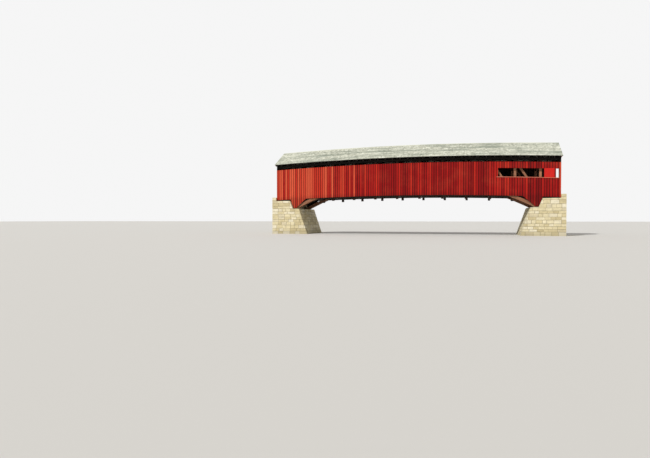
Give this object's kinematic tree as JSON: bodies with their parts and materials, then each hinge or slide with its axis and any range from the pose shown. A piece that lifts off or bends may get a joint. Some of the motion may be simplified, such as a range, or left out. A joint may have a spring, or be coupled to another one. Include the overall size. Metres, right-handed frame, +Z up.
{
  "type": "covered bridge",
  "caption": "Covered timber road bridge with a cambered arch-and-post truss, red board siding, shingled gable roof and battered stone abutments.",
  "frame": {"origin": "centre of the bridge's footprint at the foot of the abutments", "axes": "+X along the road, +Y across it, +Z up"},
  "size_m": [33, 6.3, 10.5993],
  "materials": {
    "stone": "rough quarried masonry",
    "floor_timber": "weathered sawn timber",
    "deck_timber": "worn planks",
    "truss_timber": "aged sawn timber",
    "roof_timber": "aged sawn timber",
    "shingles": "silvered split shingles",
    "rail_timber": "aged sawn timber",
    "red_boards": "red painted boards",
    "trim": "painted boards",
    "red_panel": "fresh red painted boards"
  },
  "bodies": {
    "root": {"abutment_left": "stone", "abutment_right": "stone", "bed_timbers": "floor_timber", "bottom_chord_near": "floor_timber", "bottom_chord_far": "floor_timber", "floor_beams": "floor_timber", "floor_bracing_low": "floor_timber", "floor_bracing_high": "floor_timber", "stringers": "deck_timber", "deck": "deck_timber", "wheel_guards": "deck_timber", "posts_near": "truss_timber", "posts_far": "truss_timber", "braces_near": "truss_timber", "braces_far": "truss_timber", "arch_near": "truss_timber", "arch_far": "truss_timber", "top_chord_near": "truss_timber", "top_chord_far": "truss_timber", "tie_beams": "truss_timber", "tie_bracing_low": "truss_timber", "tie_bracing_high": "truss_timber", "knee_braces": "truss_timber", "plate_near": "roof_timber", "plate_far": "roof_timber", "rafters_near": "roof_timber", "rafters_far": "roof_timber", "roof_lath": "roof_timber", "roof_near": "shingles", "roof_far": "shingles", "rails_near": "rail_timber", "rails_far": "rail_timber", "siding_near": "red_boards", "siding_far": "red_boards", "window_sill": "trim", "window_panel": "red_panel", "corner_boards": "trim", "portal_left": "red_boards", "portal_right": "red_boards", "portal_trim_left": "trim", "portal_trim_right": "trim"}
  },
  "joints": []
}
